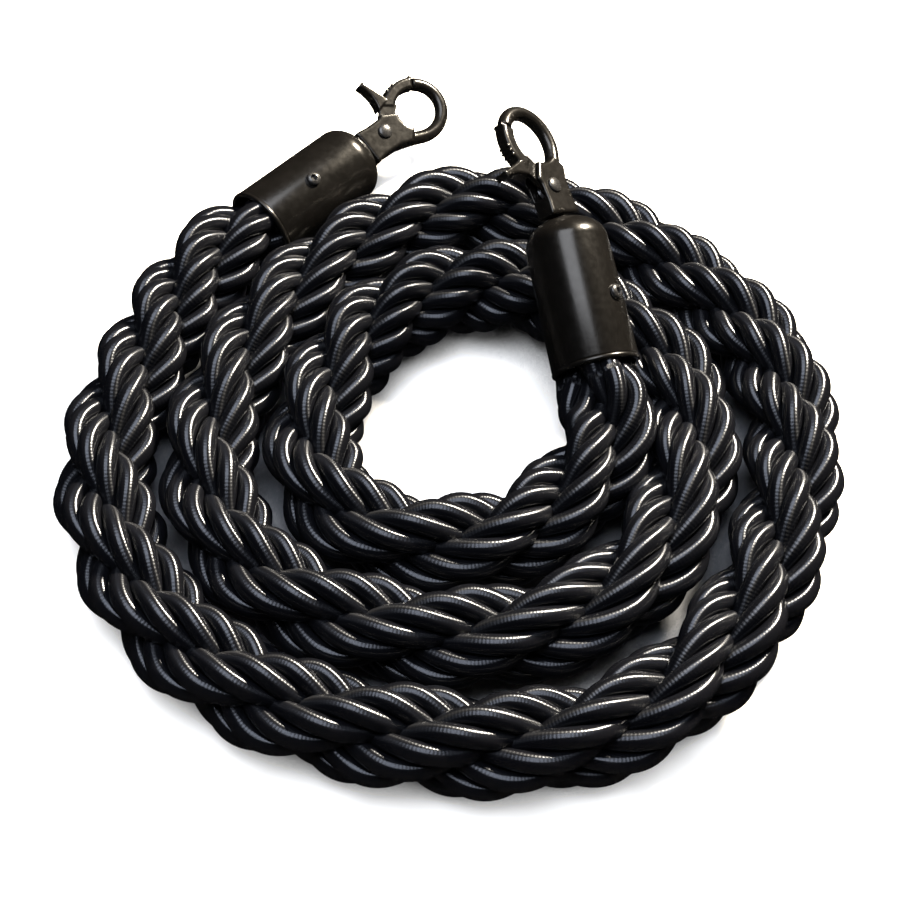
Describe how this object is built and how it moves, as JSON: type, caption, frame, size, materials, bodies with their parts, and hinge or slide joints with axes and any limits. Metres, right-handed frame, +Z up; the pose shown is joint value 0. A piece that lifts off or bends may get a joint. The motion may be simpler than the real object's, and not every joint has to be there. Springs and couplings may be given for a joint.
{
  "type": "barrier rope",
  "caption": "Thick twisted barrier rope lying in a loose flat coil, with a domed metal end cap and a swivelling trigger snap hook on each end",
  "frame": {"origin": "On the floor that the coil lies on, under the middle of the box round the two capped ends with their hooks. The rope itself is a free cord and is left out of that box.", "axes": "+Z is up from the floor. The coil lies flat in X and Y; the two capped ends lie on its +Y side, hook a pointing to +X +Y and hook b to +Y and up. The two ends together reach furthest along Y and least along Z."},
  "size_m": [0.254, 0.2932, 0.0757],
  "materials": {
    "rope_cord": "satin twisted cord, black",
    "inner_cord": "matt squeezed rope end",
    "black_lacquer": "semi-gloss black lacquer",
    "dark_screw": "blackened steel",
    "plain_steel": "plain zinc plated steel"
  },
  "bodies": {
    "rope_and_caps": {"rope": "rope_cord", "end_cap_a": "black_lacquer", "rope_tail_a": "inner_cord", "cap_screw_a1": "dark_screw", "cap_screw_a2": "dark_screw", "end_cap_b": "black_lacquer", "rope_tail_b": "inner_cord", "cap_screw_b1": "dark_screw", "cap_screw_b2": "dark_screw"},
    "hook_a": {"hook_body_a": "black_lacquer", "gate_rivet_a": "dark_screw", "gate_spring_a": "plain_steel", "swivel_washer_a": "plain_steel", "swivel_nut_a": "plain_steel"},
    "hook_b": {"hook_body_b": "black_lacquer", "gate_rivet_b": "dark_screw", "gate_spring_b": "plain_steel", "swivel_washer_b": "plain_steel", "swivel_nut_b": "plain_steel"},
    "gate_a": {"gate_a": "black_lacquer"},
    "gate_b": {"gate_b": "black_lacquer"}
  },
  "joints": [
    {"name": "hook_a_swivel", "type": "hinge", "parent": "rope_and_caps", "child": "hook_a", "pos_m": [-0.02383, 0.04417, 0.0156], "axis": [0.6853, 0.7283, 0], "continuous": true},
    {"name": "gate_a_pivot", "type": "hinge", "parent": "hook_a", "child": "gate_a", "pos_m": [-0.01713, 0.05256, 0.0161], "axis": [0.3641, -0.3426, 0.866], "range_deg": [0, 35], "stiffness_Nm_per_rad": 0.02, "springref_deg": -20.05},
    {"name": "hook_b_swivel", "type": "hinge", "parent": "rope_and_caps", "child": "hook_b", "pos_m": [0.04495, -0.02489, 0.05432], "axis": [-0.3534, 0.8499, 0.3909], "continuous": true},
    {"name": "gate_b_pivot", "type": "hinge", "parent": "hook_b", "child": "gate_b", "pos_m": [0.04048, -0.01632, 0.05901], "axis": [0.6288, -0.0936, 0.7719], "range_deg": [0, 35], "stiffness_Nm_per_rad": 0.02, "springref_deg": -20.05}
  ]
}
